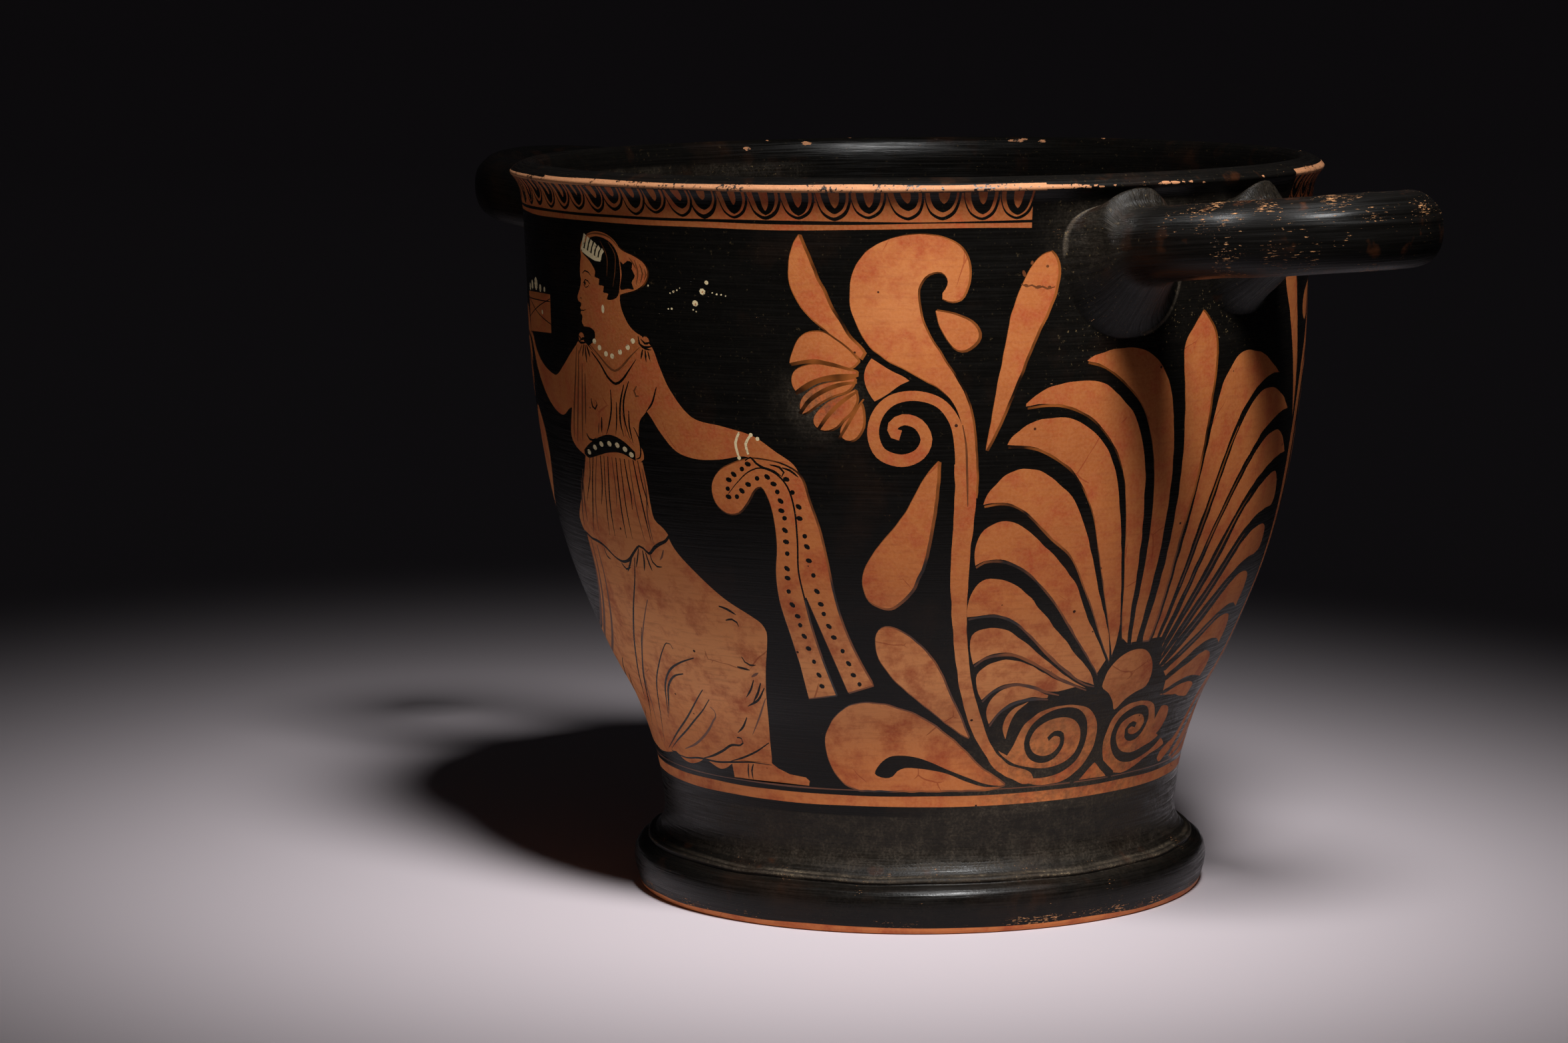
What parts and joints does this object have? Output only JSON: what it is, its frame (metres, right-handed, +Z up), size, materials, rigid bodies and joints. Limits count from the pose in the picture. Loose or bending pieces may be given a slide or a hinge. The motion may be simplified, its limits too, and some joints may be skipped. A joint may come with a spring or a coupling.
{
  "type": "skyphos",
  "caption": "Deep two-handled drinking cup of fired clay with a rounded foot, loop handles under the lip and a painted band, ornament and figure.",
  "frame": {"origin": "on the surface that the foot stands on, under the centre of the bowl", "axes": "+Z up out of the mouth; +X along the handles; -Y towards the main picture"},
  "size_m": [0.4274, 0.2654, 0.236],
  "materials": {
    "black_gloss": "dark brown-black clay slip fired to a soft gloss, with reserved orange clay, brown dilute lines and touches of added white"
  },
  "bodies": {
    "root": {"skyphos": "black_gloss"}
  },
  "joints": []
}
